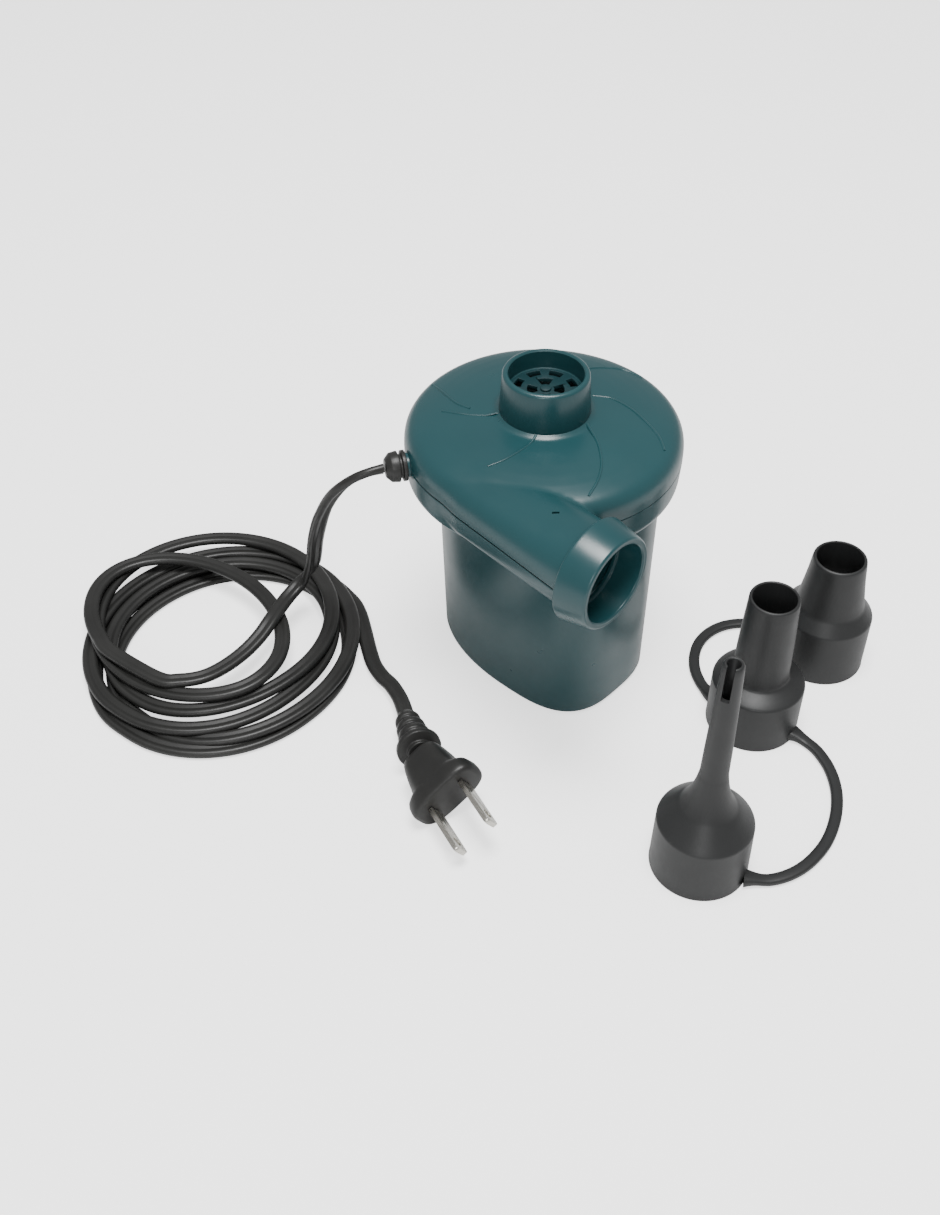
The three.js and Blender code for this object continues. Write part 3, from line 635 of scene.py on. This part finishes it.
# ---------------------------------------------------------------- strain relief
# A black moulded grommet clamped in the seam: an anchor flange inside, a thin flange against the rim
# and a thicker tapered ring outside it that keeps the flex from kinking.
sleeve = softened(turned([
    (0, 30.6), (2.9, 30.6), (3.5, 36.6), (4.8, 36.8), (4.8, 38.7), (3.55, 38.9), (3.55, 44.0), (4.85, 44.1),
    (4.85, 45.3), (3.75, 45.5), (3.75, 46.2), (4.9, 46.4), (4.55, 48.9), (3.3, 50.1), (2.9, 50.5), (0, 50.5),
], 64), 0.00018, 2)
sleeve = placed(along_relief(sleeve), "strain_relief_sleeve", cord_black)
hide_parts("strain_relief")

# ---------------------------------------------------------------- plug
# A moulded black plug with two flat nickel-plated blades. The wide head narrows to a neck and
# a ribbed relief where the flex goes in, and each blade has a chamfered tip with a round hole near it.
plug_face = Vector((0.0318, -0.0785, 0.0108))
plug_turn = Matrix.Rotation(math.radians(-20), 3, "Z") @ Matrix.Rotation(math.radians(36), 3, "X")


def on_plug(bm):
    """Puts a piece made along +X, with the plug's face at the origin, where the plug lies."""
    bmesh.ops.rotate(bm, verts=bm.verts, cent=(0, 0, 0), matrix=plug_turn)
    shift(bm, plug_face)
    return bm


def plug_ring(station, a):
    x, half_width, half_height = station
    y, z = oval(half_width, half_height, 3.2, a)
    return Vector((x, y, z)) * 0.001


plug_stations = [
    (-19, 5.4, 4.4), (-18.7, 6.1, 5.1), (-18, 6.5, 5.5), (-16, 7.1, 5.9), (-13, 7.8, 6.25), (-9.5, 8.4, 6.4),
    (-7.4, 8.8, 6.6), (-6.6, 9.6, 6.7), (-6, 10.8, 6.85), (-5.3, 11.7, 7.05), (-4.2, 12.2, 7.25),
    (-2.6, 12.4, 7.4), (-1.4, 12.4, 7.4), (-0.6, 12.1, 7.15), (-0.15, 11.6, 6.7), (0, 10.8, 6.1),
]
plug_body = on_plug(lofted(plug_stations, plug_ring, 72))
plug_body = placed(plug_body, "plug_moulding", cord_black, crease=50)
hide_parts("plug_body")
nickel = metal("nickel_plate", (0.68, 0.66, 0.6), 0.26, streak=(80, 1400, 1400))
half_spacing = 0.00635
for side, letter in ((-1, "a"), (1, "b")):
    blade = bmesh.new()
    bmesh.ops.create_cube(blade, size=0.001)
    bmesh.ops.scale(blade, vec=(17.5, 1.5, 6.2), verts=blade.verts)
    shift(blade, (0.00905, side * half_spacing, 0))
    far = [e for e in blade.edges if all(v.co.x > 0.017 for v in e.verts)]
    tip = [e for e in far if abs((e.verts[0].co - e.verts[1].co).y) > 0.001]
    bmesh.ops.bevel(blade, geom=tip, offset=0.0016, offset_type="OFFSET", segments=4, profile=0.5,
                    affect="EDGES", material=-1)
    hole = turned([(0, -6), (1.6, -6), (1.6, 6), (0, 6)], 32)
    swing(hole, math.pi / 2, "X")
    shift(hole, (0.0139, side * half_spacing, 0))
    blade = softened(carved(blade, hole), 0.0002, 2, 50)
    blade = placed(on_plug(blade), "plug_blade_" + letter + "_plated", nickel)
    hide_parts("plug_blade_" + letter)

ribbed = softened(turned([
    (0, 0), (2.9, 0), (3.3, 2.4), (4.2, 2.6), (4.35, 4.6), (3.6, 4.9), (3.7, 6.6), (4.8, 6.9), (4.95, 9.0),
    (4.1, 9.3), (4.2, 11.0), (5.3, 11.3), (5.45, 13.6), (4.7, 14.0), (4.8, 17.0), (7.3, 17.2),
    (7.3, 19.2), (4.1, 19.6), (4.1, 20.9), (0, 20.9),
], 64), 0.0004, 3)
swing(ribbed, math.pi / 2 - math.radians(11.9), "Y")
swing(ribbed, math.radians(-31.7), "Z")
shift(ribbed, (-0.0047, -0.0605, 0.0062))
ribbed = placed(ribbed, "plug_relief_ribs", cord_black)
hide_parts("plug_relief")

# ---------------------------------------------------------------- nozzles
# Three nozzles of soft charcoal plastic fit different valves. Each has a wide socket that pushes over
# a collar, a sloping shoulder and a tapering neck. The small one ends in a slotted tip.
charcoal = moulded(
    "soft_charcoal", (0.0215, 0.0222, 0.0225), (0.0175, 0.0182, 0.0185), 0.44,
    blotch=40, grain=1500, bump=0.25,
)


def nozzle(name, profile, place, shape=lambda bm: bm):
    bm = shape(softened(turned(profile, 96), 0.0004, 3, 30))
    shift(bm, (*place, 0))
    piece = placed(bm, name + "_moulding", charcoal, "nozzle_set", crease=32)
    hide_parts(name)
    return piece


def tip_slot(bm):
    slot = block((6, 2.4, 24), (4, 0, 85.6))
    swing(slot, math.radians(-74), "Z")
    return carved(bm, slot)


nozzle("nozzle_small", [
    (14, 0), (15.15, 0), (15.05, 1), (14.65, 19.4), (14.6, 20.1), (13.6, 21.3), (12.2, 22.9), (10.4, 25.0),
    (9.1, 26.5), (8.7, 26.9), (8.1, 27.8), (7.2, 29.5), (6.4, 31.4), (5.6, 33.9), (5.0, 36.4), (4.55, 39),
    (4.3, 40.8), (4.2, 41.2), (4.1, 46), (4.0, 52), (3.75, 62), (3.5, 72), (3.15, 83), (3.0, 84.8),
    (2.6, 85.6), (1.9, 85.6), (2.1, 72), (2.7, 52), (3, 41), (4.6, 33), (6.6, 27), (9, 22),
    (12.6, 19), (13.8, 17.4),
], (0.0985, -0.0392), tip_slot)
nozzle("nozzle_medium", [
    (14, 0), (15.2, 0), (15.1, 1), (15.05, 18.4), (15.0, 19.0), (14.2, 19.6), (12.4, 20.6), (10.6, 21.4),
    (9.6, 21.9), (9.3, 22.4), (9.15, 23.6), (9.1, 27), (8.9, 34), (8.6, 42), (8.2, 50), (8.0, 54.4),
    (7.75, 55), (6.9, 55), (7.2, 44), (7.6, 30), (8, 23), (10, 19.8), (12.8, 17.8), (13.8, 16.4),
], (0.0775, 0.0206))
nozzle("nozzle_large", [
    (14, 0), (15.15, 0), (15.0, 1), (14.9, 20.6), (14.85, 21.2), (14.2, 22.0), (13.0, 23.5), (12.0, 24.8),
    (11.5, 25.4), (11.2, 26.4), (10.8, 29), (10.2, 33), (9.6, 37.5), (9.0, 43.6), (8.85, 44.5), (8.5, 45),
    (7.7, 45), (8.6, 34), (9.8, 25.4), (11.4, 21.8), (13.2, 19.4), (13.8, 17.6),
], (0.0778, 0.0617))

# ---------------------------------------------------------------- tethers
# Two soft straps moulded with the nozzles tie them in a chain, so that none gets lost. They lie on the
# floor in open curves and thicken into small lugs where they meet the nozzles.
tether_section = []
for i in range(24):
    across, up = oval(0.0019, 0.0012, 3, i * math.tau / 24)
    tether_section.append((across, up))
tether_a_route = [
    (0.1131, -0.0367), (0.1150, -0.0354), (0.1188, -0.0322), (0.1219, -0.0276), (0.1239, -0.0220),
    (0.1247, -0.0156), (0.1243, -0.0084), (0.1224, -0.0010), (0.1192, 0.0062), (0.1148, 0.0126),
    (0.1090, 0.0180), (0.1024, 0.0216), (0.0976, 0.0226), (0.0940, 0.0225), (0.0921, 0.0223),
]
tether_b_route = [
    (0.0629, 0.0188), (0.0614, 0.0189), (0.0568, 0.0210), (0.0514, 0.0250), (0.0472, 0.0304),
    (0.0446, 0.0368), (0.0442, 0.0434), (0.0460, 0.0498), (0.0502, 0.0554), (0.0560, 0.0592),
    (0.0612, 0.0605), (0.0632, 0.0608),
]


def lug(from_end):
    """How much thicker the strap is near its ends."""
    return 1 + 0.6 * max(0, 1 - from_end / 0.006) ** 2


for name, route in (("tether_a", tether_a_route), ("tether_b", tether_b_route)):
    route = [(x, y, 0.0015) for x, y in route]
    for end in (0, 1, -1, -2):
        route[end] = (*route[end][:2], 0.0021)
    strap = swept(smooth_line(route), tether_section, name, size=lug)
    strap = placed(strap, name + "_strap", charcoal, "nozzle_set")
    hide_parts(name)

# ---------------------------------------------------------------- floor and lights
# A plain pale floor under soft studio light.
floor_mesh = bmesh.new()
bmesh.ops.create_grid(floor_mesh, x_segments=1, y_segments=1, size=3)
floor_data = bpy.data.meshes.new("floor")
floor_mesh.to_mesh(floor_data)
floor_mesh.free()
floor = bpy.data.objects.new("floor", floor_data)
floor_paint = bpy.data.materials.new("floor_paint")
floor_paint.use_nodes = True
paint = floor_paint.node_tree.nodes["Principled BSDF"]
paint.inputs["Base Color"].default_value = (0.9, 0.9, 0.9, 1)
paint.inputs["Roughness"].default_value = 0.7
paint.inputs["Emission Color"].default_value = (1, 1, 1, 1)
# The glow is for the camera alone, so it whitens the floor without lighting the pump from below.
seen = floor_paint.node_tree.nodes.new("ShaderNodeLightPath")
glow = floor_paint.node_tree.nodes.new("ShaderNodeMath")
glow.operation = "MULTIPLY"
glow.inputs[1].default_value = 1.5
floor_paint.node_tree.links.new(seen.outputs["Is Camera Ray"], glow.inputs[0])
floor_paint.node_tree.links.new(glow.outputs["Value"], paint.inputs["Emission Strength"])
floor_data.materials.append(floor_paint)
bpy.context.collection.objects.link(floor)


def soft_light(name, place, target, size, power):
    data = bpy.data.lights.new(name, "AREA")
    data.shape = "DISK"
    data.size = size
    data.energy = power
    lamp = bpy.data.objects.new(name, data)
    lamp.location = place
    lamp.rotation_euler = (Vector(target) - Vector(place)).to_track_quat("-Z", "Y").to_euler()
    bpy.context.collection.objects.link(lamp)


soft_light("overhead", (0.1, -0.1, 1.2), (0, 0, 0), 0.55, 20)
soft_light("front", (0.6, -0.9, 0.6), (0, 0, 0.04), 0.35, 3)
world = bpy.data.worlds.new("studio")
world.use_nodes = True
world.node_tree.nodes["Background"].inputs["Color"].default_value = (1, 1, 1, 1)
world.node_tree.nodes["Background"].inputs["Strength"].default_value = 0.42
bpy.context.scene.world = world
